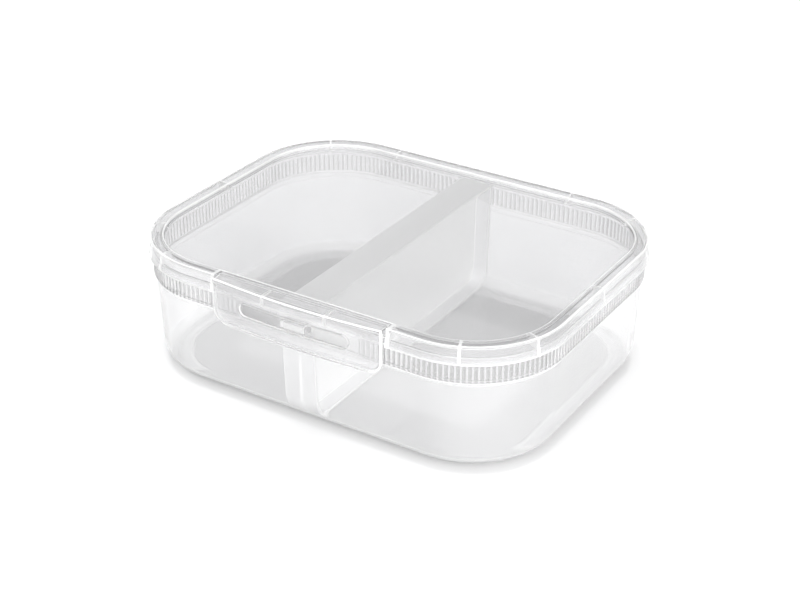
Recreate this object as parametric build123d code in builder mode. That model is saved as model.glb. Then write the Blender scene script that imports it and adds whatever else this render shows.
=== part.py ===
from build123d import *
import os

# Clear polypropylene lunch box with a lift-off lid, a front clip and a lift-out divider.
# Millimetres, +Z up, origin at the centre of the flat base. X runs along the long side
# and the clip is on the front, at -Y.

# Plan outline: a rounded rectangle, grown outwards by an offset at each level
HALF_LENGTH = 95.0
HALF_WIDTH = 71.3
CORNER_RADIUS = 37.0
LONG_STRAIGHT = HALF_LENGTH - CORNER_RADIUS
SHORT_STRAIGHT = HALF_WIDTH - CORNER_RADIUS
CORNERS = ((1, 1, 0.0), (-1, 1, 90.0), (-1, -1, 180.0), (1, -1, 270.0))

# Container
WALL = 1.5
BASE_OFFSET = 2.84
WALL_TAPER = 2.0
BASE_FILLET = 11.0
BAND_BOTTOM = 43.7
BAND_OFFSET = 5.1
BAND_INNER_STEP = 44.9
CONTAINER_RIM = 56.0

# Raised floor, with a foot ring left round a shallow recess under it
FLOOR_TOP = 2.7
FLOOR_FILLET = 4.8
RECESS_OFFSET = -9.5
RECESS_DEPTH = 1.2
RECESS_TAPER = 30.0

# Grip ribs round the band
RIB_BOTTOM = 44.0
RIB_TOP = 53.2
RIB_WIDTH = 1.1
RIB_DEPTH = 0.37
RIB_PITCH = 2.367
RIBS_LONG_SIDE = 49
RIBS_SHORT_SIDE = 29
RIBS_CORNER = 28
# The front's ribs stop either side of the clip's slot
RIBS_BESIDE_SLOT = 12
RIB_GROUP_X = RIB_PITCH * (RIBS_LONG_SIDE - RIBS_BESIDE_SLOT) / 2

# Catch on the front of the container, which the clip's slot closes over
CATCH_WIDTH = 12.0
CATCH_TIP_Y = -82.0
CATCH_ROOT_Y = -75.6
CATCH_TOP = 52.6
CATCH_TIP_BOTTOM = 49.6
CATCH_ROOT_BOTTOM = 47.8

# Lid
LID_TOP = 61.4
LID_THICKNESS = 1.3
SKIRT_BOTTOM = 53.3
SKIRT_OFFSET = 7.2
SKIRT_TAPER = 10.0
SKIRT_THICKNESS = 1.2
PANEL_TOP = 59.2
PANEL_THICKNESS = 1.4
UPSTAND = 1.2
RIM_FILLET = 0.6

# Ribs across the lid's channel, which rest on the container's rim
GUSSET_WIDTH = 0.9
GUSSET_LENGTH = 14.0
GUSSET_OFFSET = 5.6
GUSSET_BITE = 0.3
FRONT_GUSSET_ANGLES = (23.0, 67.0)
BACK_GUSSET_ANGLE = 53.0
BACK_GUSSET_X = 47.0

# Seat in the lid for the clip
NOTCH_HALF = 43.0
NOTCH_BACK_Y = -72.1
NOTCH_FRONT_Y = -77.4
NOTCH_FLOOR = 58.4
NOTCH_FLOOR_THICKNESS = 1.2
NOTCH_LIP = 0.7
NOTCH_LIP_BOTTOM = 54.1
END_WEB = 1.8

# Front clip
CLIP_HALF = 42.3
CLIP_END_Y = -80.0
CLIP_BOW = 2.4
CLIP_BACK_Y = -77.8
CLIP_BOTTOM = 40.5
CLIP_TOP = 61.2
CLIP_WALL = 1.3
CLIP_CORNER = 6.0
CLIP_PLATE_LOW = 58.7
SLOT_LENGTH = 54.8
SLOT_HEIGHT = 6.0
SLOT_Z = 51.5
SLOT_RING = 0.9
SLOT_RING_DEPTH = 0.3
CLIP_RIB_X = 15.6
CLIP_RIB = 1.0
CLIP_RIB_BOTTOM = 56.2
CLIP_RIB_BACK_Y = -79.6
CLIP_RIB_FRONT_Y = -81.2

# Hinge between clip and lid
HINGE_Y = -73.65
HINGE_Z = 59.95
BEAD_RADIUS = 1.25
PIN_RADIUS = 0.7
PIN_CLEARANCE = 0.05
PIN_END = 44.4

# Divider
DIVIDER_X = -2.6
DIVIDER_WALL = 1.2
FLANGE_WIDTH = 16.6
DIVIDER_BOTTOM = 2.9
DIVIDER_TOP = 55.6
DIVIDER_STEP = 45.3
DIVIDER_FOOT_HALF = 72.2
DIVIDER_SHOULDER_HALF = 73.7
DIVIDER_EAR_HALF = 74.4
DIVIDER_CORNER = 9.5


def outline(offset, mode=Mode.ADD):
    length = 2 * (HALF_LENGTH + offset)
    width = 2 * (HALF_WIDTH + offset)
    RectangleRounded(length, width, CORNER_RADIUS + offset, mode=mode)


def level(height):
    return Plane.XY.offset(height)


def corner_centre(sign_x, sign_y):
    return (sign_x * LONG_STRAIGHT, sign_y * SHORT_STRAIGHT)


# ---- Container

# Space inside: tapered below the band, a little wider within it
with BuildPart() as cavity:
    with BuildSketch(level(FLOOR_TOP)):
        outline(BASE_OFFSET - WALL)
    extrude(amount=BAND_INNER_STEP - FLOOR_TOP, taper=-WALL_TAPER)
    fillet(cavity.faces().sort_by(Axis.Z)[0].edges(), FLOOR_FILLET)
    with BuildSketch(level(BAND_INNER_STEP)):
        outline(BAND_OFFSET - WALL)
    extrude(amount=CONTAINER_RIM - BAND_INNER_STEP)

# Band with its vertical grip ribs
with BuildPart() as grip:
    with BuildSketch(level(RIB_BOTTOM)):
        outline(BAND_OFFSET)
        with Locations((0, HALF_WIDTH + BAND_OFFSET)):
            with GridLocations(RIB_PITCH, 0, RIBS_LONG_SIDE, 1):
                Rectangle(RIB_WIDTH, 2 * RIB_DEPTH)
        with Locations((-RIB_GROUP_X, -HALF_WIDTH - BAND_OFFSET), (RIB_GROUP_X, -HALF_WIDTH - BAND_OFFSET)):
            with GridLocations(RIB_PITCH, 0, RIBS_BESIDE_SLOT, 1):
                Rectangle(RIB_WIDTH, 2 * RIB_DEPTH)
        with GridLocations(2 * (HALF_LENGTH + BAND_OFFSET), RIB_PITCH, 2, RIBS_SHORT_SIDE):
            Rectangle(2 * RIB_DEPTH, RIB_WIDTH)
        for sign_x, sign_y, start in CORNERS:
            first = start + 45.0 / RIBS_CORNER
            with Locations(corner_centre(sign_x, sign_y)):
                with PolarLocations(CORNER_RADIUS + BAND_OFFSET, RIBS_CORNER, first, 90.0):
                    Rectangle(2 * RIB_DEPTH, RIB_WIDTH)
    extrude(amount=RIB_TOP - RIB_BOTTOM)

with BuildPart() as container:
    with BuildSketch():
        outline(BASE_OFFSET)
    extrude(amount=BAND_BOTTOM, taper=-WALL_TAPER)
    fillet(container.faces().sort_by(Axis.Z)[0].edges(), BASE_FILLET)
    with BuildSketch(level(BAND_BOTTOM)):
        outline(BAND_OFFSET)
    extrude(amount=CONTAINER_RIM - BAND_BOTTOM)
    add(grip.part)
    # Catch, with a sloping underside
    with BuildSketch(Plane.YZ):
        with BuildLine():
            Polyline(
                (CATCH_ROOT_Y, CATCH_TOP),
                (CATCH_TIP_Y, CATCH_TOP),
                (CATCH_TIP_Y, CATCH_TIP_BOTTOM),
                (CATCH_ROOT_Y, CATCH_ROOT_BOTTOM),
                close=True,
            )
        make_face()
    extrude(amount=CATCH_WIDTH / 2, both=True)
    add(cavity.part, mode=Mode.SUBTRACT)
    with BuildSketch():
        outline(RECESS_OFFSET)
    extrude(amount=RECESS_DEPTH, taper=RECESS_TAPER, mode=Mode.SUBTRACT)
container.part.label = "container"

# ---- Lid

with BuildPart() as lid:
    with BuildSketch(level(SKIRT_BOTTOM)):
        outline(SKIRT_OFFSET)
    extrude(amount=LID_TOP - SKIRT_BOTTOM, taper=SKIRT_TAPER)
    fillet(lid.faces().sort_by(Axis.Z)[-1].edges(), RIM_FILLET)
    # Hollow under the rim, open in the middle
    with BuildSketch(level(SKIRT_BOTTOM)):
        outline(SKIRT_OFFSET - SKIRT_THICKNESS)
    extrude(amount=LID_TOP - LID_THICKNESS - SKIRT_BOTTOM, taper=SKIRT_TAPER, mode=Mode.SUBTRACT)
    with BuildSketch(level(PANEL_TOP)):
        outline(0)
    extrude(amount=LID_TOP - PANEL_TOP, mode=Mode.SUBTRACT)
    # Panel, and the upstand that joins it to the rim
    with BuildSketch(level(PANEL_TOP - PANEL_THICKNESS)):
        outline(UPSTAND)
    extrude(amount=PANEL_THICKNESS)
    with BuildSketch(level(PANEL_TOP)):
        outline(UPSTAND)
        outline(0, mode=Mode.SUBTRACT)
    extrude(amount=LID_TOP - LID_THICKNESS - PANEL_TOP)
    # Ribs across the channel, and the webs that close it beside the clip
    with BuildSketch(level(CONTAINER_RIM)):
        with Locations(corner_centre(1, 1)):
            with PolarLocations(CORNER_RADIUS, 1, BACK_GUSSET_ANGLE):
                Rectangle(GUSSET_LENGTH, GUSSET_WIDTH)
        with Locations(corner_centre(-1, 1)):
            with PolarLocations(CORNER_RADIUS, 1, 180.0 - BACK_GUSSET_ANGLE):
                Rectangle(GUSSET_LENGTH, GUSSET_WIDTH)
        for angle in FRONT_GUSSET_ANGLES:
            with Locations(corner_centre(-1, -1)):
                with PolarLocations(CORNER_RADIUS, 1, 180.0 + angle):
                    Rectangle(GUSSET_LENGTH, GUSSET_WIDTH)
            with Locations(corner_centre(1, -1)):
                with PolarLocations(CORNER_RADIUS, 1, -angle):
                    Rectangle(GUSSET_LENGTH, GUSSET_WIDTH)
        with Locations((-HALF_LENGTH, 0), (HALF_LENGTH, 0)):
            Rectangle(GUSSET_LENGTH, GUSSET_WIDTH)
        with Locations((-BACK_GUSSET_X, HALF_WIDTH), (BACK_GUSSET_X, HALF_WIDTH)):
            Rectangle(GUSSET_WIDTH, GUSSET_LENGTH)
        with GridLocations(2 * NOTCH_HALF + END_WEB, 0, 2, 1):
            with Locations((0, -HALF_WIDTH)):
                Rectangle(END_WEB, GUSSET_LENGTH)
        outline(GUSSET_OFFSET, mode=Mode.INTERSECT)
        outline(UPSTAND / 2, mode=Mode.SUBTRACT)
    extrude(amount=LID_TOP - LID_THICKNESS + GUSSET_BITE - CONTAINER_RIM)
    # Seat for the clip: rim lowered and skirt cut away, then a floor and a lip put back
    with BuildSketch(level(NOTCH_FLOOR)):
        with Locations((0, NOTCH_BACK_Y)):
            Rectangle(2 * NOTCH_HALF, 2 * GUSSET_LENGTH, align=(Align.CENTER, Align.MAX))
    extrude(amount=LID_TOP - NOTCH_FLOOR, mode=Mode.SUBTRACT)
    with BuildSketch(level(SKIRT_BOTTOM)):
        with Locations((0, NOTCH_FRONT_Y + NOTCH_LIP)):
            Rectangle(2 * NOTCH_HALF, GUSSET_LENGTH, align=(Align.CENTER, Align.MAX))
    extrude(amount=LID_TOP - SKIRT_BOTTOM, mode=Mode.SUBTRACT)
    with BuildSketch(level(NOTCH_FLOOR - NOTCH_FLOOR_THICKNESS)):
        with Locations((0, NOTCH_FRONT_Y)):
            Rectangle(2 * NOTCH_HALF, NOTCH_BACK_Y - NOTCH_FRONT_Y, align=(Align.CENTER, Align.MIN))
    extrude(amount=NOTCH_FLOOR_THICKNESS)
    with BuildSketch(level(NOTCH_LIP_BOTTOM)):
        with Locations((0, NOTCH_FRONT_Y)):
            Rectangle(2 * NOTCH_HALF, NOTCH_LIP, align=(Align.CENTER, Align.MIN))
    extrude(amount=NOTCH_FLOOR - NOTCH_LIP_BOTTOM)
    # Holes for the clip's pins
    with BuildSketch(Plane.YZ):
        with Locations((HINGE_Y, HINGE_Z)):
            Circle(PIN_RADIUS + PIN_CLEARANCE)
    extrude(amount=NOTCH_HALF + END_WEB + GUSSET_BITE, both=True, mode=Mode.SUBTRACT)
lid.part.label = "lid"

# ---- Front clip


def clip_plan(grow):
    half = CLIP_HALF + grow
    end_y = CLIP_END_Y - grow
    with BuildSketch() as plan:
        with BuildLine():
            ThreePointArc((-half, end_y), (0, end_y - CLIP_BOW), (half, end_y))
            Polyline((half, end_y), (half, HINGE_Y), (-half, HINGE_Y), (-half, end_y))
        make_face()
    return plan.sketch


with BuildPart() as clip_hollow:
    with BuildSketch(level(CLIP_BOTTOM + CLIP_WALL)):
        add(clip_plan(-CLIP_WALL))
    extrude(amount=CLIP_TOP - CLIP_BOTTOM - 2 * CLIP_WALL)
    low_edges = clip_hollow.faces().sort_by(Axis.Z)[0].edges().filter_by(Axis.Y)
    fillet(low_edges, CLIP_CORNER - CLIP_WALL)

with BuildPart() as slot_ring:
    with BuildSketch(level(CLIP_BOTTOM)):
        add(clip_plan(SLOT_RING_DEPTH))
    extrude(amount=CLIP_TOP - CLIP_BOTTOM)
    with BuildSketch(Plane.XZ.offset(-CLIP_END_Y)):
        with Locations((0, SLOT_Z)):
            SlotOverall(SLOT_LENGTH + 2 * SLOT_RING, SLOT_HEIGHT + 2 * SLOT_RING)
    extrude(amount=2 * CLIP_BOW, mode=Mode.INTERSECT)

with BuildPart() as front_clip:
    with BuildSketch(level(CLIP_BOTTOM)):
        add(clip_plan(0))
    extrude(amount=CLIP_TOP - CLIP_BOTTOM)
    fillet(front_clip.faces().sort_by(Axis.Z)[0].edges().filter_by(Axis.Y), CLIP_CORNER)
    add(slot_ring.part)
    add(clip_hollow.part, mode=Mode.SUBTRACT)
    # Only the top plate reaches back to the hinge
    with BuildSketch(level(CLIP_BOTTOM)):
        with Locations((0, CLIP_BACK_Y)):
            Rectangle(4 * CLIP_HALF, GUSSET_LENGTH, align=(Align.CENTER, Align.MIN))
    extrude(amount=CLIP_PLATE_LOW - CLIP_BOTTOM, mode=Mode.SUBTRACT)
    # Stiffening ribs under the plate and down the back of the face
    with BuildSketch(level(CLIP_PLATE_LOW)):
        with GridLocations(2 * CLIP_RIB_X, 0, 2, 1):
            with Locations((0, HINGE_Y)):
                Rectangle(CLIP_RIB, HINGE_Y - CLIP_RIB_FRONT_Y, align=(Align.CENTER, Align.MAX))
    extrude(amount=CLIP_TOP - CLIP_WALL / 2 - CLIP_PLATE_LOW)
    with BuildSketch(level(CLIP_RIB_BOTTOM)):
        with GridLocations(2 * CLIP_RIB_X, 0, 2, 1):
            with Locations((0, CLIP_RIB_BACK_Y)):
                Rectangle(CLIP_RIB, CLIP_RIB_BACK_Y - CLIP_RIB_FRONT_Y, align=(Align.CENTER, Align.MAX))
    extrude(amount=CLIP_PLATE_LOW - CLIP_RIB_BOTTOM)
    # Slot through the face
    with BuildSketch(Plane.XZ.offset(-CLIP_BACK_Y)):
        with Locations((0, SLOT_Z)):
            SlotOverall(SLOT_LENGTH, SLOT_HEIGHT)
    extrude(amount=GUSSET_LENGTH, mode=Mode.SUBTRACT)
    # Hinge bead and its two pins
    with BuildSketch(Plane.YZ):
        with Locations((HINGE_Y, HINGE_Z)):
            Circle(BEAD_RADIUS)
    extrude(amount=CLIP_HALF, both=True)
    with BuildSketch(Plane.YZ):
        with Locations((HINGE_Y, HINGE_Z)):
            Circle(PIN_RADIUS)
    extrude(amount=PIN_END, both=True)
front_clip.part.label = "front_clip"

# ---- Divider


def divider_outline(inset):
    low = DIVIDER_BOTTOM + inset
    step = DIVIDER_STEP + inset
    top = DIVIDER_TOP - inset
    foot = DIVIDER_FOOT_HALF - inset
    shoulder = DIVIDER_SHOULDER_HALF - inset
    ear = DIVIDER_EAR_HALF - inset
    with BuildSketch() as face:
        with BuildLine():
            Polyline((0, low), (foot, low), (shoulder, step), (ear, step), (ear, top), (0, top))
            mirror(about=Plane.YZ)
        make_face()
        fillet(face.vertices().group_by(Axis.Y)[0], DIVIDER_CORNER - inset)
    return face.sketch


with BuildPart() as divider:
    with BuildSketch(Plane.YZ.offset(DIVIDER_X)):
        add(divider_outline(0))
    extrude(amount=FLANGE_WIDTH / 2, both=True)
    for side in (-1, 1):
        with BuildSketch(Plane.YZ.offset(DIVIDER_X + side * DIVIDER_WALL / 2)):
            add(divider_outline(DIVIDER_WALL))
        extrude(amount=side * FLANGE_WIDTH, mode=Mode.SUBTRACT)
divider.part.label = "divider"

os.makedirs("parts", exist_ok=True)
export_step(container.part, "parts/container.step")
export_step(lid.part, "parts/lid.step")
export_step(front_clip.part, "parts/front_clip.step")
export_step(divider.part, "parts/divider.step")
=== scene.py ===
import math
import bmesh
import bpy
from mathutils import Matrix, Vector


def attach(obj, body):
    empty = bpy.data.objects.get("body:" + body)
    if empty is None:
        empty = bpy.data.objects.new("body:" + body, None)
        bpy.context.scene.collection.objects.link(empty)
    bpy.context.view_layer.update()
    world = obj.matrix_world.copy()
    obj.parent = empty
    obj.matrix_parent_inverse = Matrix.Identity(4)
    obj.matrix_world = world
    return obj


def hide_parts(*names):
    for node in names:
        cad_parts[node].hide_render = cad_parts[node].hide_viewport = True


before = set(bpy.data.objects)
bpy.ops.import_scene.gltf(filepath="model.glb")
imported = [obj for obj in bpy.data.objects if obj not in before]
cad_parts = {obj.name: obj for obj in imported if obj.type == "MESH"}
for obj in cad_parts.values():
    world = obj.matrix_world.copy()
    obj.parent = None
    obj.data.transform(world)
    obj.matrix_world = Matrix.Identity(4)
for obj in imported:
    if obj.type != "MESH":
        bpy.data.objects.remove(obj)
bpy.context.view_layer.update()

# The pieces are built in millimetres. Stage, lights and camera are in metres.
MM = 0.001

# A finish is a place in the piece's list of materials
# The edge finish is a painted highlight: a whiter, less clear copy of the piece's plastic
PLAIN, EDGE_HIGHLIGHT = 0, 1
# The rib and groove finishes are painted light: a highlight on rib crests and shade in the grooves
BASE, GROOVE_SHADE, RIB_HIGHLIGHT, FOOT, FRONT_GROOVE_SHADE = 2, 3, 4, 5, 6
LID_WEB_HIGHLIGHT = CLIP_RIB_HIGHLIGHT = FLANGE = 2

# The lid's inner top edge in plan, which every ring is offset from
HALF_LENGTH = 95.0
HALF_WIDTH = 71.3
CORNER = 37.0
STRAIGHT_X = HALF_LENGTH - CORNER
STRAIGHT_Y = HALF_WIDTH - CORNER

SHARP_ANGLE = math.radians(40)

# Bands narrower than this are rounded edges. They get a painted highlight, a whiter and less clear copy of
# the plastic than the faces that they join
EDGE_WIDTH = 0.34


# ---------------------------------------------------------------- mesh tools

def finish_mesh(name, bm, materials, body):
    """Turn a bmesh in millimetres into a smooth-shaded piece that rides on a body."""
    bmesh.ops.recalc_face_normals(bm, faces=bm.faces)
    for vert in bm.verts:
        vert.co *= MM
    for edge in bm.edges:
        if len(edge.link_faces) == 2:
            edge.smooth = edge.calc_face_angle(0.0) < SHARP_ANGLE
    for face in bm.faces:
        face.smooth = True
    mesh = bpy.data.meshes.new(name)
    bm.to_mesh(mesh)
    bm.free()
    for material in materials:
        mesh.materials.append(material)
    piece = bpy.data.objects.new(name, mesh)
    bpy.context.collection.objects.link(piece)
    weighted = piece.modifiers.new("weighted_normals", "WEIGHTED_NORMAL")
    weighted.keep_sharp = True
    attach(piece, body)
    return piece


def add_rings(bm, rings, closed=False, finish=None, cap=PLAIN):
    """Skin a stack of equal rings; a stack that isn't closed is capped at both ends.

    A face has the finish that finish(level, step) gives. Without it, narrow faces get the painted edge
    highlight.
    """
    rows = [[bm.verts.new(point) for point in ring] for ring in rings]
    count = len(rows[0])
    pairs = list(zip(rows, rows[1:]))
    if closed:
        pairs.append((rows[-1], rows[0]))
    else:
        for row in (rows[0], rows[-1]):
            bm.faces.new(row).material_index = cap
    for level, (low, high) in enumerate(pairs):
        for i in range(count):
            j = (i + 1) % count
            face = bm.faces.new((low[i], low[j], high[j], high[i]))
            if finish is None:
                across = min((low[i].co - high[i].co).length, (low[j].co - high[j].co).length)
                face.material_index = EDGE_HIGHLIGHT if across < EDGE_WIDTH else PLAIN
            else:
                face.material_index = finish(level, i)


def add_block(bm, low, high, bevel, finish):
    """A box between two corners with softened edges."""
    made = bmesh.ops.create_cube(bm, size=1.0)["verts"]
    for vert in made:
        for axis in range(3):
            middle = (low[axis] + high[axis]) / 2
            vert.co[axis] = middle + vert.co[axis] * (high[axis] - low[axis])
        for face in vert.link_faces:
            face.material_index = finish
    edges = {edge for vert in made for edge in vert.link_edges}
    bmesh.ops.bevel(bm, geom=list(edges), offset=bevel, segments=2, profile=0.5, affect="EDGES")


def arc_points(centre, radius, start, end, steps):
    """Points on an arc in degrees, both ends included."""
    points = []
    for i in range(steps + 1):
        angle = math.radians(start + (end - start) * i / steps)
        points.append((centre[0] + radius * math.cos(angle), centre[1] + radius * math.sin(angle)))
    return points


# ---------------------------------------------------------------- outline stations

def side_stations(steps_long, steps_short, steps_corner):
    """Walk once round the lid's inner edge. Each station is (x, y, normal_x, normal_y)."""
    stations = []

    def straight(start, end, normal, steps):
        for i in range(steps):
            t = i / steps
            x = start[0] + (end[0] - start[0]) * t
            y = start[1] + (end[1] - start[1]) * t
            stations.append((x, y, normal[0], normal[1]))

    def corner(centre, start, steps):
        for i in range(steps):
            angle = math.radians(start + 90.0 * i / steps)
            nx, ny = math.cos(angle), math.sin(angle)
            stations.append((centre[0] + CORNER * nx, centre[1] + CORNER * ny, nx, ny))

    straight((HALF_LENGTH, -STRAIGHT_Y), (HALF_LENGTH, STRAIGHT_Y), (1, 0), steps_short)
    corner((STRAIGHT_X, STRAIGHT_Y), 0, steps_corner)
    straight((STRAIGHT_X, HALF_WIDTH), (-STRAIGHT_X, HALF_WIDTH), (0, 1), steps_long)
    corner((-STRAIGHT_X, STRAIGHT_Y), 90, steps_corner)
    straight((-HALF_LENGTH, STRAIGHT_Y), (-HALF_LENGTH, -STRAIGHT_Y), (-1, 0), steps_short)
    corner((-STRAIGHT_X, -STRAIGHT_Y), 180, steps_corner)
    straight((-STRAIGHT_X, -HALF_WIDTH), (STRAIGHT_X, -HALF_WIDTH), (0, -1), steps_long)
    corner((STRAIGHT_X, -STRAIGHT_Y), 270, steps_corner)
    return stations


def offset_point(station, offset, height):
    """A point at a height, moved outwards from a station."""
    x, y, nx, ny = station[:4]
    return (x + offset * nx, y + offset * ny, height)


# ---------------------------------------------------------------- materials

# Where nearly all of a noise's values lie
NOISE_LOW, NOISE_HIGH = 0.3, 0.7

# Scale and detail of the noises for tone, gloss and surface
CLOUD, GRAIN, RELIEF = (22.0, 3.0), (60.0, 4.0), (45.0, 2.0)
RELIEF_DEPTH = 0.0004
PLASTIC_IOR = 1.49

# What a ray from a lamp keeps as it meets a face
SHADOW_TINT = 0.93
BASE_TINT = 0.75
FOOT_TINT = 0.25


def new_material(name):
    """A material with one Principled shader, and that shader."""
    material = bpy.data.materials.new(name)
    material.use_nodes = True
    nodes = material.node_tree.nodes
    nodes.clear()
    out = nodes.new("ShaderNodeOutputMaterial")
    shader = nodes.new("ShaderNodeBsdfPrincipled")
    material.node_tree.links.new(shader.outputs["BSDF"], out.inputs["Surface"])
    return material, shader


def link(material, source, target):
    """Join two sockets of a material."""
    material.node_tree.links.new(source, target)


def noise(material, scale, detail):
    """A noise that stays with the piece as it moves."""
    nodes = material.node_tree.nodes
    coords = nodes.new("ShaderNodeTexCoord")
    texture = nodes.new("ShaderNodeTexNoise")
    texture.inputs["Scale"].default_value = scale
    texture.inputs["Detail"].default_value = detail
    link(material, coords.outputs["Object"], texture.inputs["Vector"])
    return texture.outputs["Fac"]


def spread(material, source, low, high):
    """Map a noise to a range."""
    node = material.node_tree.nodes.new("ShaderNodeMapRange")
    node.inputs["From Min"].default_value = NOISE_LOW
    node.inputs["From Max"].default_value = NOISE_HIGH
    node.inputs["To Min"].default_value = low
    node.inputs["To Max"].default_value = high
    link(material, source, node.inputs["Value"])
    return node.outputs["Result"]


def tones(material, source, low, high):
    """Two close colours mixed by a noise."""
    node = material.node_tree.nodes.new("ShaderNodeMix")
    node.data_type = "RGBA"
    node.inputs["A"].default_value = (*low, 1)
    node.inputs["B"].default_value = (*high, 1)
    link(material, source, node.inputs["Factor"])
    return node.outputs["Result"]


def let_lamps_through(material, shader, tint):
    """Plastic this thin passes most of the light, so rays from lamps meet it as a pale film."""
    nodes = material.node_tree.nodes
    path = nodes.new("ShaderNodeLightPath")
    film = nodes.new("ShaderNodeBsdfTransparent")
    film.inputs["Color"].default_value = (tint, tint, tint, 1)
    mix = nodes.new("ShaderNodeMixShader")
    link(material, path.outputs["Is Shadow Ray"], mix.inputs[0])
    link(material, shader.outputs["BSDF"], mix.inputs[1])
    link(material, film.outputs["BSDF"], mix.inputs[2])
    link(material, mix.outputs["Shader"], nodes["Material Output"].inputs["Surface"])


def clear_plastic(name, tone_range, clarity, roughness, bump, tint=SHADOW_TINT):
    """Moulded polypropylene: slightly uneven tone, gloss and surface."""
    material, shader = new_material(name)
    shader.inputs["IOR"].default_value = PLASTIC_IOR
    shader.inputs["Transmission Weight"].default_value = clarity
    cloud = noise(material, *CLOUD)
    link(material, tones(material, cloud, *tone_range), shader.inputs["Base Color"])
    grain = noise(material, *GRAIN)
    link(material, spread(material, grain, *roughness), shader.inputs["Roughness"])
    relief = material.node_tree.nodes.new("ShaderNodeBump")
    relief.inputs["Strength"].default_value = bump
    relief.inputs["Distance"].default_value = RELIEF_DEPTH
    link(material, noise(material, *RELIEF), relief.inputs["Height"])
    link(material, relief.outputs["Normal"], shader.inputs["Normal"])
    let_lamps_through(material, shader, tint)
    return material


# Darkest and lightest tone of each kind of face
FACE_TONES = (0.96, 0.96, 0.965), (0.985, 0.985, 0.99)
LID_TONES = (0.87, 0.87, 0.875), (0.905, 0.905, 0.91)
BASE_TONES = (0.955, 0.955, 0.96), (0.975, 0.975, 0.98)
# The edge tones serve both the divider's own white and the painted highlights on edges, webs and ribs
EDGE_TONES = (0.98, 0.98, 0.98), (0.995, 0.995, 0.995)
# Painted shade in the grooves between the container's ribs: dark on the back sides, lighter on the front
# sides
GROOVE_SHADE_TONES = (0.18, 0.18, 0.18), (0.24, 0.24, 0.24)
FRONT_GROOVE_SHADE_TONES = (0.64, 0.64, 0.64), (0.7, 0.7, 0.7)

# Each list is in the order of the finishes
LID = [
    clear_plastic("lid_plastic", LID_TONES, 0.87, (0.03, 0.07), 0.05),
    # Painted highlight on the lid's rounded edges
    clear_plastic("lid_edge_highlights", EDGE_TONES, 0.4, (0.15, 0.25), 0.05),
    # Painted highlight where the lid's webs meet the outside: a whiter, less clear copy of the lid's plastic
    clear_plastic("lid_web_highlights", EDGE_TONES, 0.6, (0.1, 0.2), 0.05),
]
TUB = [
    clear_plastic("container_plastic", FACE_TONES, 0.8, (0.04, 0.09), 0.06),
    # Painted highlight on the container's rounded edges
    clear_plastic("container_edge_highlights", EDGE_TONES, 0.45, (0.15, 0.25), 0.06),
    clear_plastic("container_base", BASE_TONES, 0.76, (0.04, 0.08), 0.03, BASE_TINT),
    # Painted shade in the grooves
    clear_plastic("container_groove_shade", GROOVE_SHADE_TONES, 0.88, (0.05, 0.1), 0.06),
    # Painted highlight on the rib crests
    clear_plastic("container_rib_highlights", FACE_TONES, 0.6, (0.1, 0.2), 0.06),
    clear_plastic("container_foot", FACE_TONES, 0.75, (0.05, 0.1), 0.06, FOOT_TINT),
    # Lighter painted shade in the grooves on the front sides
    clear_plastic("container_front_groove_shade", FRONT_GROOVE_SHADE_TONES, 0.85, (0.05, 0.1), 0.06),
]
CLIP = [
    clear_plastic("clip_plastic", LID_TONES, 0.85, (0.04, 0.09), 0.06),
    # Painted highlight on the clip's rounded edges
    clear_plastic("clip_edge_highlights", EDGE_TONES, 0.3, (0.15, 0.25), 0.06),
    # Painted highlight on the clip's two ribs: nearly opaque white
    clear_plastic("clip_rib_highlights", EDGE_TONES, 0.05, (0.2, 0.3), 0.06),
]
DIVIDER = [
    clear_plastic("divider_plastic", EDGE_TONES, 0.22, (0.1, 0.2), 0.05),
    # Painted highlight on the divider's rounded edges
    clear_plastic("divider_edge_highlights", EDGE_TONES, 0.1, (0.2, 0.3), 0.05),
    clear_plastic("divider_flange", FACE_TONES, 0.52, (0.1, 0.2), 0.05),
]


# ---------------------------------------------------------------- container

OUTER_ARC, OUTER_CENTRE = 11.0, -7.78
INNER_ARC, INNER_CENTRE = 4.8, -3.3
TUB_FLOOR = 2.7
RECESS = 1.2
CENTRE_OFFSET = -30.0

# Grip ribs round the container's band
RIBS_LONG, RIBS_SHORT, RIBS_CORNER = 49, 29, 28
RIB_SAMPLES = 6
RIB_DEPTH = 0.37
RIB_CREST, RIB_VALLEY = 0.8, 0.25
# The front's ribs stop either side of the clip's slot
SMOOTH_HALF = 29.6
# Sides whose normal points further back than this have a painted highlight on the rib crests and dark painted
# shade in the grooves
BACK_NORMAL = 0.1
# Marks the stretch of the profile whose finish follows the ribs
BAND = -1

CATCH_HALF = 6.0
CATCH_CENTRE = (-79.0, 50.4)


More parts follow.
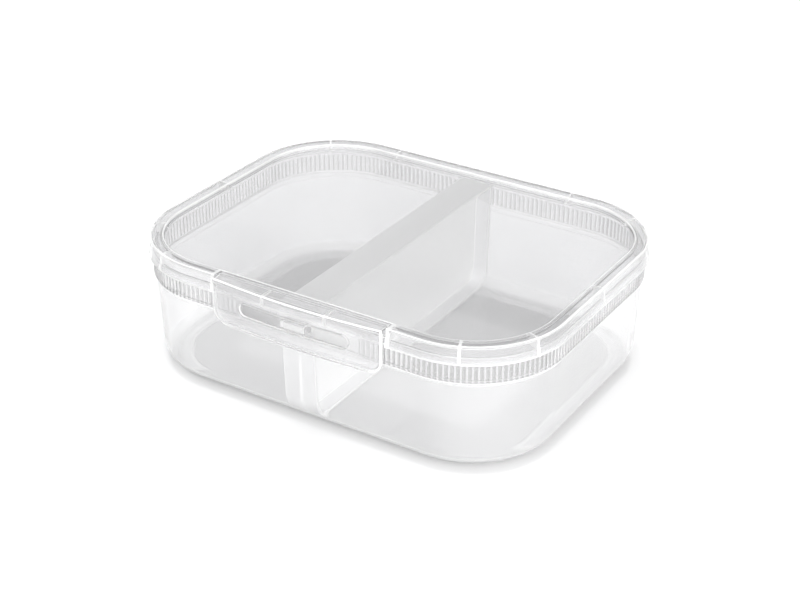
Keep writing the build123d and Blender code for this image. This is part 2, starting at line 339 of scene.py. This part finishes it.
def container_profile():
    """From the middle of the base, over the rim, to the middle of the floor.

    Each level is (offset, height, rib share, finish of the faces up to the next level).
    """
    corner = arc_points((OUTER_CENTRE, OUTER_ARC), OUTER_ARC, -90, -2, 11)
    fillet = arc_points((INNER_CENTRE, TUB_FLOOR + INNER_ARC), INNER_ARC, -2, -90, 7)
    stretches = [
        # The recess under the base, the foot ring round it and the lower corner, with a painted highlight
        # where the corner meets the floor
        (FOOT, [(CENTRE_OFFSET, RECESS), (-10.5, RECESS), (-10.15, RECESS - 0.08), (-9.95, RECESS - 0.3)]),
        (FOOT, [(-9.6, 0.3), (-9.4, 0.08)]),
        (EDGE_HIGHLIGHT, [(-9.1, 0.0), (-8.3, 0.0)] + corner[:2]),
        (FOOT, corner[2:7]),
        # The outer wall, and the ledge under the band
        (PLAIN, corner[7:] + [(3.8, 27.0), (4.34, 43.2)]),
        (EDGE_HIGHLIGHT, [(4.4, 43.55), (4.6, 43.7), (4.9, 43.72), (5.05, 43.8), (5.1, 43.98)]),
        # The ribbed band, and the rim over it
        (BAND, [(5.1, 44.25, 0.8), (5.1, 44.6, 1.0), (5.1, 52.6, 1.0)]),
        (EDGE_HIGHLIGHT, [(5.1, 52.95, 0.8)]),
        (PLAIN, [(5.1, 53.2)]),
        (EDGE_HIGHLIGHT, [(5.1, 55.6), (5.0, 55.85)]),
        (PLAIN, [(4.7, 56.0)]),
        (EDGE_HIGHLIGHT, [(4.0, 56.0), (3.7, 55.85)]),
        (PLAIN, [(3.6, 55.6), (3.6, 45.5)]),
        # The step inside, a fine painted highlight line under it, the inner wall, and the floor with painted
        # highlight arcs on its fillet
        (EDGE_HIGHLIGHT, [(3.52, 45.1), (3.3, 44.93), (3.05, 44.87), (2.84, 44.7)]),
        (PLAIN, [(2.8, 44.4)]),
        (EDGE_HIGHLIGHT, [(2.72, 42.3)]),
        (PLAIN, [(2.68, 41.8), (2.22, 28.0), fillet[0]]),
        (EDGE_HIGHLIGHT, fillet[1:6]),
        (PLAIN, fillet[6:7]),
        (EDGE_HIGHLIGHT, fillet[7:]),
        (BASE, [(-3.8, TUB_FLOOR), (-4.4, TUB_FLOOR), (CENTRE_OFFSET, TUB_FLOOR)]),
    ]
    levels = []
    for finish, points in stretches:
        # Outside the band a point has no rib share
        levels += [(*(*point, 0.0)[:3], finish) for point in points]
    return levels


def is_smooth(x, ny):
    """The front has no ribs behind the clip's slot."""
    return ny == -1 and abs(x) < SMOOTH_HALF


def rib_shares(stations):
    """How far each station stands out, from 0 in a groove to 1 on a rib's crest."""
    shares = []
    for i, (x, y, nx, ny) in enumerate(stations):
        wave = 0.5 - 0.5 * math.cos(2 * math.pi * (i % RIB_SAMPLES) / RIB_SAMPLES)
        shares.append(0.0 if is_smooth(x, ny) else wave)
    return shares


def build_container():
    """The tub, as rings round the outline with the ribs as waves in the band."""
    stations = side_stations(RIBS_LONG * RIB_SAMPLES, RIBS_SHORT * RIB_SAMPLES, RIBS_CORNER * RIB_SAMPLES)
    ribs = rib_shares(stations)
    profile = container_profile()
    rings = []
    for offset, height, share, finish in profile:
        ring = []
        for station, rib in zip(stations, ribs):
            ring.append(offset_point(station, offset + RIB_DEPTH * rib * share, height))
        rings.append(ring)

    def band_finish(step):
        """Crests and grooves differ by painted light: light painted shade in the grooves on the front, and on
        the sides seen through the box darker shade and a painted highlight on the crests.
        """
        x, y, nx, ny = stations[step]
        if is_smooth(x, ny):
            return PLAIN
        height = (ribs[step] + ribs[(step + 1) % len(ribs)]) / 2
        if ny <= BACK_NORMAL:
            return PLAIN if height > RIB_CREST else FRONT_GROOVE_SHADE
        if height > RIB_CREST:
            return RIB_HIGHLIGHT
        return GROOVE_SHADE if height < RIB_VALLEY else PLAIN

    def face_finish(level, step):
        finish = profile[level][3]
        return band_finish(step) if finish == BAND else finish

    bm = bmesh.new()
    add_rings(bm, rings, finish=face_finish, cap=BASE)
    piece = finish_mesh("container_shell", bm, TUB, "container")
    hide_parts("container")


def build_catch():
    """The catch that the clip's slot closes over."""
    section = [(-76.2, 52.6), (-81.6, 52.6), (-81.9, 52.5), (-82.0, 52.2), (-82.0, 50.0), (-81.9, 49.7)]
    section += [(-81.6, 49.55), (-76.2, 48.0)]
    ends = [(-CATCH_HALF, 0.9), (-CATCH_HALF + 0.15, 0.98), (CATCH_HALF - 0.15, 0.98), (CATCH_HALF, 0.9)]
    middle_y, middle_z = CATCH_CENTRE
    rings = []
    # Each end ring is shrunk towards the middle, which rounds the end
    for x, shrink in ends:
        ring = []
        for y, z in section:
            ring.append((x, middle_y + (y - middle_y) * shrink, middle_z + (z - middle_z) * shrink))
        rings.append(ring)
    bm = bmesh.new()
    add_rings(bm, rings)
    piece = finish_mesh("container_catch", bm, TUB, "container")


# ---------------------------------------------------------------- lid

PANEL_TOP = [(CENTRE_OFFSET, 59.2), (-1.6, 59.2)]
UPSTAND_IN = [(-0.9, 59.22), (-0.45, 59.33), (-0.2, 59.6), (-0.1, 60.5)]
INNER_EDGE = [(-0.06, 60.85), (0.06, 61.04), (0.28, 61.12)]
PANEL_UNDER = [(-1.6, 57.8), (CENTRE_OFFSET, 57.8)]
START = PANEL_TOP + UPSTAND_IN + INNER_EDGE

RIM = [(0.5, 61.13), (1.6, 61.19), (2.7, 61.25), (3.8, 61.31), (4.9, 61.36)]
SHOULDER = [(5.35, 61.38), (5.6, 61.32), (5.76, 61.18), (5.86, 60.9)]
SKIRT = [(6.19, 59.0), (6.72, 56.0), (7.09, 54.0), (7.16, 53.6), (7.12, 53.38), (6.95, 53.3)]
HEM = [(6.3, 53.3), (6.08, 53.36), (5.99, 53.55)]
OUTSIDE = RIM + SHOULDER + SKIRT + HEM

CHANNEL = [(5.56, 55.9), (5.05, 58.8), (4.87, 59.7)]
CEILING = [(4.78, 59.93), (4.55, 60.08), (4.2, 60.1), (2.9, 60.1), (1.75, 60.1), (1.45, 60.06), (1.27, 59.92)]
UPSTAND_OUT = [(1.2, 59.6), (1.2, 58.9), (1.2, 58.2), (1.15, 57.98), (1.0, 57.84), (0.75, 57.8)]

WEB_CHANNEL = [(5.56, 55.9), (5.5, 56.02), (5.4, 56.05)]
WEB_CEILING = [(x, 56.05) for x in (5.2, 4.8, 4.2, 2.9, 1.75, 1.5)] + [(1.3, 56.08)]
WEB_UPSTAND = [(1.2, 56.2), (1.2, 56.8), (1.2, 57.5), (1.15, 57.7), (1.0, 57.78), (0.75, 57.8)]

SEAT_BACK = [(0.5, 61.1), (0.72, 60.98), (0.8, 60.5), (0.8, 59.2), (0.84, 58.62)]
SEAT_FLOOR = [(1.05, 58.42), (3.5, 58.4), (5.75, 58.4), (6.03, 58.3)]
SEAT_LIP = [(6.1, 58.1), (6.1, 56.5), (6.1, 54.5), (6.1, 54.35), (6.05, 54.17), (5.93, 54.1)]
SEAT_HEM = [(5.6, 54.1), (5.46, 54.17), (5.4, 54.35)]
SEAT_CHANNEL = [(5.4, 55.5), (5.4, 56.5), (5.38, 56.95)]
SEAT_CEILING = [(5.28, 57.12)] + [(x, 57.2) for x in (5.05, 4.2, 2.9, 1.75, 1.5)] + [(1.35, 57.22)]
SEAT_UPSTAND = [(1.24, 57.3), (1.2, 57.42), (1.18, 57.55), (1.12, 57.7), (1.0, 57.78), (0.75, 57.8)]

SECTIONS = {
    "rim": START + OUTSIDE + CHANNEL + CEILING + UPSTAND_OUT + PANEL_UNDER,
    "web": START + OUTSIDE + WEB_CHANNEL + WEB_CEILING + WEB_UPSTAND + PANEL_UNDER,
    "seat": START + SEAT_BACK + SEAT_FLOOR + SEAT_LIP + SEAT_HEM + SEAT_CHANNEL + SEAT_CEILING
    + SEAT_UPSTAND + PANEL_UNDER,
}

# Gussets: the cross ribs inside the rim. They start and end over a short ease.
GUSSET = 0.9
EASE = 0.12
BACK_GUSSET_X = 47.0
# How far round its corner, in degrees, each corner gusset sits
BACK_GUSSET_TURN = 53.0
FRONT_GUSSET_TURNS = (23.0, 67.0)
CORNER_STATIONS = 44

# The clip's seat. At each end it closes, within a hair, with a web.
SEAT_HALF = 43.0
HAIR = 0.01
END_WEB = 1.8

# Evenly spaced stations: reach from the middle, and step
SEAT_RUN, SHORT_RUN, LONG_RUN = (42, 6), (30, 10), (54, 12)
BESIDE_SEAT = (50.0, 54.0)


def arc_walk(centre, start, turns):
    """Stations round one corner of the lid, with a gusset at each of the turns."""
    ease = math.degrees(EASE / CORNER)
    half = math.degrees(GUSSET / 2 / CORNER)
    marks = {start + 90.0 * i / CORNER_STATIONS: "rim" for i in range(CORNER_STATIONS + 1)}
    for turn in turns:
        middle = start + turn
        marks = {at: kind for at, kind in marks.items() if abs(at - middle) > half + 2 * ease}
        marks[middle - half - ease] = "rim"
        marks[middle - half] = "web"
        marks[middle + half] = "web"
        marks[middle + half + ease] = "rim"
    stations = []
    for degrees in sorted(marks):
        angle = math.radians(degrees)
        nx, ny = math.cos(angle), math.sin(angle)
        stations.append((centre[0] + CORNER * nx, centre[1] + CORNER * ny, nx, ny, marks[degrees]))
    return stations


def side_walk(start, end, normal, marks):
    """Stations along one straight side; marks is a list of (distance from the middle, section)."""
    middle = ((start[0] + end[0]) / 2, (start[1] + end[1]) / 2)
    length = math.dist(start, end)
    along = ((end[0] - start[0]) / length, (end[1] - start[1]) / length)
    stations = []
    for distance, kind in sorted(marks):
        x = middle[0] + along[0] * distance
        y = middle[1] + along[1] * distance
        stations.append((x, y, normal[0], normal[1], kind))
    return stations


def even_marks(reach, step, kind):
    """Marks at an even step, as far as the reach either side of the middle."""
    return [(float(distance), kind) for distance in range(-reach, reach + 1, step)]


def gusset_marks(middle):
    """Marks for one gusset on a straight side."""
    half = GUSSET / 2
    return [
        (middle - half - EASE, "rim"), (middle - half, "web"),
        (middle + half, "web"), (middle + half + EASE, "rim"),
    ]


def seat_marks():
    """The clip's seat in the front of the rim, with a web closing the channel at each end."""
    marks = even_marks(*SEAT_RUN, "seat")
    for side in (-1, 1):
        marks.append((side * (SEAT_HALF - HAIR), "seat"))
        marks.append((side * SEAT_HALF, "web"))
        marks.append((side * (SEAT_HALF + END_WEB), "web"))
        marks.append((side * (SEAT_HALF + END_WEB + EASE), "rim"))
    return marks


def lid_stations():
    """Walk once round the lid. Each station is (x, y, normal_x, normal_y, section)."""
    short_side = [mark for mark in even_marks(*SHORT_RUN, "rim") if mark[0] != 0.0] + gusset_marks(0.0)
    back = even_marks(*LONG_RUN, "rim") + gusset_marks(-BACK_GUSSET_X) + gusset_marks(BACK_GUSSET_X)
    front = seat_marks() + [(side * x, "rim") for side in (-1, 1) for x in BESIDE_SEAT]
    long_x, long_y, short_x, short_y = STRAIGHT_X, HALF_WIDTH, HALF_LENGTH, STRAIGHT_Y
    stations = side_walk((short_x, -short_y), (short_x, short_y), (1, 0), short_side)
    stations += arc_walk((STRAIGHT_X, STRAIGHT_Y), 0.0, [BACK_GUSSET_TURN])
    stations += side_walk((long_x, long_y), (-long_x, long_y), (0, 1), back)
    stations += arc_walk((-STRAIGHT_X, STRAIGHT_Y), 90.0, [90.0 - BACK_GUSSET_TURN])
    stations += side_walk((-short_x, short_y), (-short_x, -short_y), (-1, 0), short_side)
    stations += arc_walk((-STRAIGHT_X, -STRAIGHT_Y), 180.0, FRONT_GUSSET_TURNS)
    stations += side_walk((-long_x, -long_y), (long_x, -long_y), (0, -1), front)
    stations += arc_walk((STRAIGHT_X, -STRAIGHT_Y), 270.0, FRONT_GUSSET_TURNS)
    return stations


def build_lid():
    """The lid, as rings whose section changes from rim to web to seat on the way round."""
    stations = lid_stations()
    rings = []
    for level in range(len(SECTIONS["rim"])):
        rings.append([offset_point(station, *SECTIONS[station[4]][level]) for station in stations])
    hem = len(START) + len(OUTSIDE) - 1
    outside = range(len(START) - 1, hem)
    under = range(hem, len(SECTIONS["rim"]) - len(PANEL_UNDER))

    def face_finish(level, step):
        """Painted highlights: white on rounded edges and inside the webs, paler where a web meets the
        outside.
        """
        kinds = {stations[step][4], stations[(step + 1) % len(stations)][4]}
        section = SECTIONS["rim" if "rim" in kinds else min(kinds)]
        if math.dist(section[level], section[level + 1]) < EDGE_WIDTH:
            return EDGE_HIGHLIGHT
        if level in under and "web" in kinds:
            return EDGE_HIGHLIGHT
        return LID_WEB_HIGHLIGHT if level in outside and kinds == {"web"} else PLAIN

    bm = bmesh.new()
    add_rings(bm, rings, finish=face_finish)
    piece = finish_mesh("lid_shell", bm, LID, "lid")
    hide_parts("lid")


# ---------------------------------------------------------------- front clip

CLIP_HALF = 42.3
CLIP_LOW, CLIP_HIGH = 40.5, 61.2
CLIP_CORNER = 6.0
CLIP_END_Y, CLIP_BOW = -80.0, 2.4
CLIP_WALL = 1.3
CLIP_BACK = -77.8
# The top plate reaches further back than the wall. Its corner is a short slope, an ease either way.
PLATE_BACK = -74.3
PLATE_LOW = 59.0
PLATE_EASE = 0.05
TOP_EDGE = 0.7
SLOT_HALF, SLOT_TALL, SLOT_Z = 27.4, 3.0, 51.5
HINGE_Y, HINGE_Z = -73.65, 59.95
LONG_STEPS, SIDE_STEPS, CORNER_STEPS = 28, 9, 7
FIELD_STEPS = 5

# The two ribs behind the clip: one part under the top plate, one down the wall
CLIP_RIB_X, CLIP_RIB_HALF, CLIP_RIB_BEVEL = 15.6, 0.5, 0.12
CLIP_RIB_SINK = 0.2
CLIP_RIB_DEPTH = 1.2
TOP_RIB_LOW, TOP_RIB_HIGH, TOP_RIB_SHORT = 58.75, 60.2, 0.4
WALL_RIB_LOW, WALL_RIB_HIGH = 56.2, 59.0

# Half of the hinge bead's outline along its axis (x, radius): a thin pin, then the bead
BEAD_STEPS = 28
BEAD_HALF = [(-44.4, 0.45), (-44.25, 0.66), (-44.0, 0.7), (-42.3, 0.7), (-42.28, 1.05), (-42.1, 1.25)]


def front_y(x, depth):
    """The clip's bowed face, and surfaces a depth behind it."""
    return CLIP_END_Y - CLIP_BOW * (1 - (x / CLIP_HALF) ** 2) + depth


def clip_outline(inset, top_inset):
    """The clip's front outline (x, z): along the top, down the right end, along the bottom, up the left."""
    half, low, high = CLIP_HALF - inset, CLIP_LOW + inset, CLIP_HIGH - top_inset
    radius = CLIP_CORNER - inset
    top = [(-half + 2 * half * i / LONG_STEPS, high) for i in range(LONG_STEPS)]
    under_plate = PLATE_LOW - PLATE_EASE
    heights = [high, high - TOP_EDGE, PLATE_LOW + PLATE_EASE, under_plate]
    drop = (under_plate - low - radius) / (SIDE_STEPS - 3)
    heights += [under_plate - drop * i for i in range(1, SIDE_STEPS - 3)]
    right = [(half, z) for z in heights]
    corner = arc_points((half - radius, low + radius), radius, 0, -90, CORNER_STEPS)[:-1]
    run = half - radius
    bottom = [(run - 2 * run * i / LONG_STEPS, low) for i in range(LONG_STEPS)]
    other = [(-x, z) for x, z in reversed(right[1:] + corner + [(run, low)])]
    return top + right + corner + bottom + other


def slot_outline(grow):
    """A stadium with as many points as clip_outline, in the same order."""
    radius = SLOT_TALL + grow
    half = SLOT_HALF - SLOT_TALL
    turn = SIDE_STEPS + CORNER_STEPS
    top = [(-half + 2 * half * i / LONG_STEPS, SLOT_Z + radius) for i in range(LONG_STEPS)]
    right = arc_points((half, SLOT_Z), radius, 90, -90, turn)[:-1]
    bottom = [(half - 2 * half * i / LONG_STEPS, SLOT_Z - radius) for i in range(LONG_STEPS)]
    left = arc_points((-half, SLOT_Z), radius, -90, -270, turn)[:-1]
    return top + right + bottom + left


def face_ring(outline, depth):
    """A ring at a depth behind the bowed face."""
    return [(x, front_y(x, depth), z) for x, z in outline]


def back_ring(outline, ease):
    """A ring on the back edge, which runs further back along the top plate."""
    return [(x, (PLATE_BACK if z > PLATE_LOW else CLIP_BACK) - ease, z) for x, z in outline]


def field_rings(inner, outer, depth):
    """Rings across a smooth field, from one outline to the other."""
    rings = []
    for i in range(FIELD_STEPS + 1):
        share = i / FIELD_STEPS
        points = [(p[0] + (q[0] - p[0]) * share, p[1] + (q[1] - p[1]) * share) for p, q in zip(inner, outer)]
        rings.append(face_ring(points, depth))
    return rings


def clip_loops():
    """Once round the clip's section, from the slot over the front and the back to the slot again.

    Each loop is (ring, finish of the faces up to the next ring).
    """
    loops = [
        (face_ring(slot_outline(0.0), 0.0), PLAIN),
        (face_ring(slot_outline(0.08), -0.2), PLAIN),
        (face_ring(slot_outline(0.3), -0.3), PLAIN),
        (face_ring(slot_outline(0.65), -0.3), PLAIN),
        (face_ring(slot_outline(0.88), -0.2), PLAIN),
    ]
    loops += [(ring, PLAIN) for ring in field_rings(slot_outline(0.95), clip_outline(3.2, 3.2), 0.0)]
    loops += [
        (face_ring(clip_outline(3.0, 3.0), -0.06), PLAIN),
        (face_ring(clip_outline(1.1, 1.1), -0.02), PLAIN),
        (face_ring(clip_outline(0.45, 0.45), 0.08), EDGE_HIGHLIGHT),
        (face_ring(clip_outline(0.12, 0.12), 0.35), EDGE_HIGHLIGHT),
        (face_ring(clip_outline(0.0, 0.0), 0.9), PLAIN),
        (back_ring(clip_outline(0.0, 0.0), 0.3), EDGE_HIGHLIGHT),
        (back_ring(clip_outline(0.1, 0.1), 0.08), EDGE_HIGHLIGHT),
        (back_ring(clip_outline(0.35, 0.35), 0.0), PLAIN),
        (back_ring(clip_outline(0.95, 1.05), 0.0), EDGE_HIGHLIGHT),
        (back_ring(clip_outline(1.2, 1.3), 0.08), EDGE_HIGHLIGHT),
        (back_ring(clip_outline(1.3, 1.4), 0.3), PLAIN),
        (face_ring(clip_outline(1.3, 1.4), CLIP_WALL + 0.6), PLAIN),
        (face_ring(clip_outline(1.45, 1.55), CLIP_WALL + 0.2), PLAIN),
    ]
    back_field = field_rings(clip_outline(1.9, 2.0), slot_outline(0.2), CLIP_WALL)
    loops += [(ring, PLAIN) for ring in back_field]
    loops += [
        (face_ring(slot_outline(0.05), CLIP_WALL - 0.05), PLAIN),
        (face_ring(slot_outline(0.0), CLIP_WALL - 0.2), EDGE_HIGHLIGHT),
    ]
    return loops


def add_clip_ribs(bm):
    """Two ribs from the clip's wall to its top plate, in a nearly opaque white that paints a highlight on
    them.
    """
    for x in (-CLIP_RIB_X, CLIP_RIB_X):
        left, right = x - CLIP_RIB_HALF, x + CLIP_RIB_HALF
        front = front_y(x, CLIP_WALL - CLIP_RIB_SINK)
        plate_end, wall_end = HINGE_Y - TOP_RIB_SHORT, front_y(x, CLIP_WALL + CLIP_RIB_DEPTH)
        low, high = (left, front, TOP_RIB_LOW), (right, plate_end, TOP_RIB_HIGH)
        add_block(bm, low, high, CLIP_RIB_BEVEL, CLIP_RIB_HIGHLIGHT)
        low, high = (left, front, WALL_RIB_LOW), (right, wall_end, WALL_RIB_HIGH)
        add_block(bm, low, high, CLIP_RIB_BEVEL, CLIP_RIB_HIGHLIGHT)


def build_clip():
    """The clip's flap, in one piece with its ribs."""
    loops = clip_loops()
    rings = [ring for ring, finish in loops]
    bm = bmesh.new()
    add_rings(bm, rings, closed=True, finish=lambda level, step: loops[level][1])
    add_clip_ribs(bm)
    piece = finish_mesh("clip_flap", bm, CLIP, "clip")
    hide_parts("front_clip")


def build_bead():
    """The clip's hinge bead, with a stub pin at each end."""
    rod = BEAD_HALF + [(-x, radius) for x, radius in reversed(BEAD_HALF)]
    rings = []
    for x, radius in rod:
        circle = arc_points((HINGE_Y, HINGE_Z), radius, 0, 360, BEAD_STEPS)[:-1]
        rings.append([(x, y, z) for y, z in circle])
    bm = bmesh.new()
    add_rings(bm, rings)
    piece = finish_mesh("clip_hinge_bead", bm, CLIP, "clip")


# ---------------------------------------------------------------- divider

DIVIDER_X = -2.6
FLANGE_HALF = 8.3
WEB_HALF = 0.6
DIVIDER_WALL = 1.2
# The flange is clear up to here
FLANGE_TOP = 54.0
# Faces longer than this across the stack are the flange's, not its roundings
FLANGE_RUN = 1.0

# The web's face is capped this far inside the flange
WEB_CAP = 6.0

# The divider's side outline: foot, shoulder under the ear, ear
DIVIDER_LOW, SHOULDER_Z, DIVIDER_TOP = 2.9, 45.3, 55.6
FOOT_Y, SHOULDER_Y, EAR_Y = 72.2, 73.7, 74.4
DIVIDER_CORNER = 9.5
SHOULDER_RUN = 18


def divider_ring(x, inset):
    """The divider's outline seen along X, moved inwards by the inset."""
    low, step, top = DIVIDER_LOW + inset, SHOULDER_Z + inset, DIVIDER_TOP - inset
    foot, shoulder, ear = FOOT_Y - inset, SHOULDER_Y - inset, EAR_Y - inset
    radius = DIVIDER_CORNER - inset
    slope = (shoulder - foot) / (step - low)
    centre = (foot + slope * radius - radius, low + radius)
    half = [(0.0, low), (centre[0] * 0.5, low)]
    half += arc_points(centre, radius, -90, -2, 9)
    half += [(shoulder - slope * SHOULDER_RUN, step - SHOULDER_RUN)]
    half += [(shoulder, step - 0.15), (shoulder + 0.15, step), (ear - 0.15, step), (ear, step + 0.15)]
    half += [(ear, top - 0.3), (ear - 0.09, top - 0.09), (ear - 0.3, top)]
    half += [(ear * 0.5, top), (0.0, top)]
    left = [(-y, z) for y, z in reversed(half[1:-1])]
    return [(x, y, z) for y, z in half + left]


def divider_stack():
    """(x, inset) across the divider's I-shaped section, from the web over the flange to the web."""
    wall = DIVIDER_WALL
    side = [
        (WEB_HALF, wall + WEB_CAP), (WEB_HALF, wall + 0.5),
        (WEB_HALF + 0.15, wall + 0.15), (WEB_HALF + 0.5, wall),
        (FLANGE_HALF - 0.35, wall), (FLANGE_HALF - 0.1, wall - 0.1), (FLANGE_HALF, wall - 0.35),
        (FLANGE_HALF, 0.4), (FLANGE_HALF - 0.12, 0.12), (FLANGE_HALF - 0.4, 0.0),
    ]
    left = [(DIVIDER_X - x, inset) for x, inset in side]
    right = [(DIVIDER_X + x, inset) for x, inset in reversed(side)]
    return left + right


def build_divider():
    """The divider, with its flange round the sides, foot and top."""
    stack = divider_stack()
    rings = [divider_ring(x, inset) for x, inset in stack]

    def face_finish(level, step):
        """Plain on the web and along the top, clearer on the flange, a painted white highlight on the edges.
        """
        if math.dist(rings[level][step], rings[level + 1][step]) < EDGE_WIDTH:
            return EDGE_HIGHLIGHT
        on_flange = abs(stack[level + 1][0] - stack[level][0]) > FLANGE_RUN
        return FLANGE if on_flange and rings[level][step][2] < FLANGE_TOP else PLAIN

    bm = bmesh.new()
    add_rings(bm, rings, finish=face_finish)
    piece = finish_mesh("divider_insert", bm, DIVIDER, "divider")
    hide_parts("divider")


# ---------------------------------------------------------------- stage, light, camera

STAGE_HALF = 4.0
STAGE_TONES = (0.95, 0.95, 0.95), (0.96, 0.96, 0.96)
STAGE_NOISE = (30.0, 2.0)
STAGE_ROUGHNESS, STAGE_SPECULAR = 0.8, 0.2
ROOM_LIGHT = (0.665, 0.665, 0.67)
LENS, SENSOR = 72.57, 36.0
CAMERA_AZIMUTH, CAMERA_ELEVATION = math.radians(32.39), math.radians(28.6)
CAMERA_DISTANCE = 0.6599
CAMERA_TARGET = Vector((0.03488, -0.05382, 0.0612))

LAMP_TARGET = Vector((0, 0, 0.03))
# Name, place, size, power in watts, and whether the plastic mirrors it
LAMPS = [
    ("overhead", (-0.25, 0.3, 1.1), (0.4, 0.4), 4.2, False),
    ("front", (-0.1, -1.3, 0.42), (1.2, 0.5), 6.0, True),
    ("corner", (1.05, -0.85, 0.4), (0.4, 0.5), 11.5, False),
    ("right", (1.2, -0.3, 0.42), (0.8, 0.5), 5.0, True),
    ("left", (-1.2, 0.0, 0.6), (0.8, 0.6), 3.5, True),
]


def build_floor():
    """A plain white floor."""
    material, shader = new_material("floor_white")
    speck = noise(material, *STAGE_NOISE)
    link(material, tones(material, speck, *STAGE_TONES), shader.inputs["Base Color"])
    shader.inputs["Roughness"].default_value = STAGE_ROUGHNESS
    shader.inputs["Specular IOR Level"].default_value = STAGE_SPECULAR
    mesh = bpy.data.meshes.new("floor")
    corners = [(-STAGE_HALF, -STAGE_HALF, 0), (STAGE_HALF, -STAGE_HALF, 0)]
    corners += [(STAGE_HALF, STAGE_HALF, 0), (-STAGE_HALF, STAGE_HALF, 0)]
    mesh.from_pydata(corners, [], [(0, 1, 2, 3)])
    mesh.materials.append(material)
    floor = bpy.data.objects.new("floor", mesh)
    bpy.context.collection.objects.link(floor)


def build_world():
    """A white room. Its tone comes from a ramp, so that the room is sampled as a lamp is.

    A plain background colour isn't, and the thin plastic would then shade what is under it.
    """
    world = bpy.data.worlds.new("studio")
    bpy.context.scene.world = world
    world.use_nodes = True
    nodes, links = world.node_tree.nodes, world.node_tree.links
    coords = nodes.new("ShaderNodeTexCoord")
    split = nodes.new("ShaderNodeSeparateXYZ")
    ramp = nodes.new("ShaderNodeValToRGB")
    for element in ramp.color_ramp.elements:
        element.color = (*ROOM_LIGHT, 1)
    links.new(coords.outputs["Generated"], split.inputs["Vector"])
    links.new(split.outputs["Z"], ramp.inputs["Fac"])
    links.new(ramp.outputs["Color"], nodes["Background"].inputs["Color"])


def area_light(name, place, size, power, mirrored):
    """A softbox; one that isn't mirrored adds soft light only."""
    lamp = bpy.data.lights.new(name, "AREA")
    lamp.shape = "RECTANGLE"
    lamp.size, lamp.size_y = size
    lamp.energy = power
    holder = bpy.data.objects.new(name, lamp)
    bpy.context.collection.objects.link(holder)
    holder.location = place
    holder.visible_glossy = mirrored
    aim = Vector(place) - LAMP_TARGET
    holder.rotation_mode = "QUATERNION"
    holder.rotation_quaternion = aim.to_track_quat("Z", "Y")


def build_camera():
    """The photo's view: a long lens, from the front right and above."""
    camera = bpy.data.cameras.new("camera")
    camera.sensor_width = SENSOR
    camera.lens = LENS
    holder = bpy.data.objects.new("camera", camera)
    bpy.context.collection.objects.link(holder)
    flat = math.cos(CAMERA_ELEVATION)
    side, away = math.sin(CAMERA_AZIMUTH) * flat, -math.cos(CAMERA_AZIMUTH) * flat
    back = Vector((side, away, math.sin(CAMERA_ELEVATION)))
    holder.location = CAMERA_TARGET + back * CAMERA_DISTANCE
    holder.rotation_mode = "QUATERNION"
    holder.rotation_quaternion = back.to_track_quat("Z", "Y")
    bpy.context.scene.camera = holder


build_camera()
build_container()
build_catch()
build_lid()
build_clip()
build_bead()
build_divider()
build_floor()
build_world()
for lamp in LAMPS:
    area_light(*lamp)

scene = bpy.context.scene
scene.view_settings.view_transform = "Standard"
scene.cycles.max_bounces = 28
scene.cycles.transmission_bounces = 28
scene.cycles.transparent_max_bounces = 24
scene.cycles.caustics_refractive = False
scene.cycles.caustics_reflective = False
